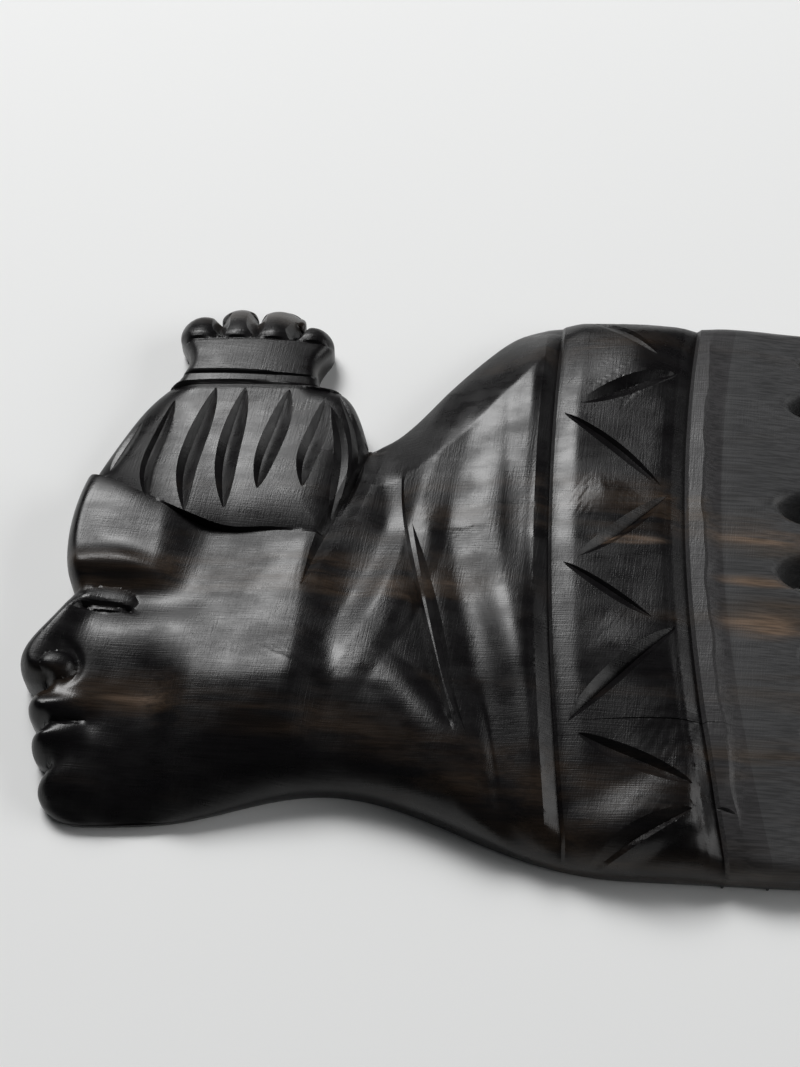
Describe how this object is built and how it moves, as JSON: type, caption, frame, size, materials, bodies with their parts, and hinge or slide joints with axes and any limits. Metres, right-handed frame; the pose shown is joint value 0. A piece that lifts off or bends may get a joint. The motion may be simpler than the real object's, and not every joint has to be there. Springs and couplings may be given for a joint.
{
  "type": "carved wooden hair comb",
  "caption": "Flat dark-wood hair comb whose handle is carved as a head in profile with a tied topknot, over a zigzag collar band and long tapered teeth.",
  "frame": {"origin": "middle of the bounding box's base, on the flat back that the comb rests on", "axes": "+X from the carved head to the tooth tips, +Y across the comb towards the topknot, +Z out of the carved face"},
  "size_m": [0.1772, 0.0722, 0.008],
  "materials": {
    "carved_ebony": "hand-polished satin, near black with brown streaks",
    "plate_ebony": "sanded satin, slightly greyer"
  },
  "bodies": {
    "root": {"topknot_curls": "carved_ebony", "topknot_band": "carved_ebony", "hair_cap": "carved_ebony", "face": "carved_ebony", "neck": "carved_ebony", "shoulder_drape": "carved_ebony", "zigzag_band": "carved_ebony", "border_bead": "carved_ebony", "comb_plate": "plate_ebony", "tooth_1": "plate_ebony", "tooth_2": "plate_ebony", "tooth_3": "plate_ebony", "tooth_4": "plate_ebony", "tooth_5": "plate_ebony", "tooth_6": "plate_ebony", "tooth_7": "plate_ebony", "tooth_8": "plate_ebony", "tooth_9": "plate_ebony"}
  },
  "joints": []
}
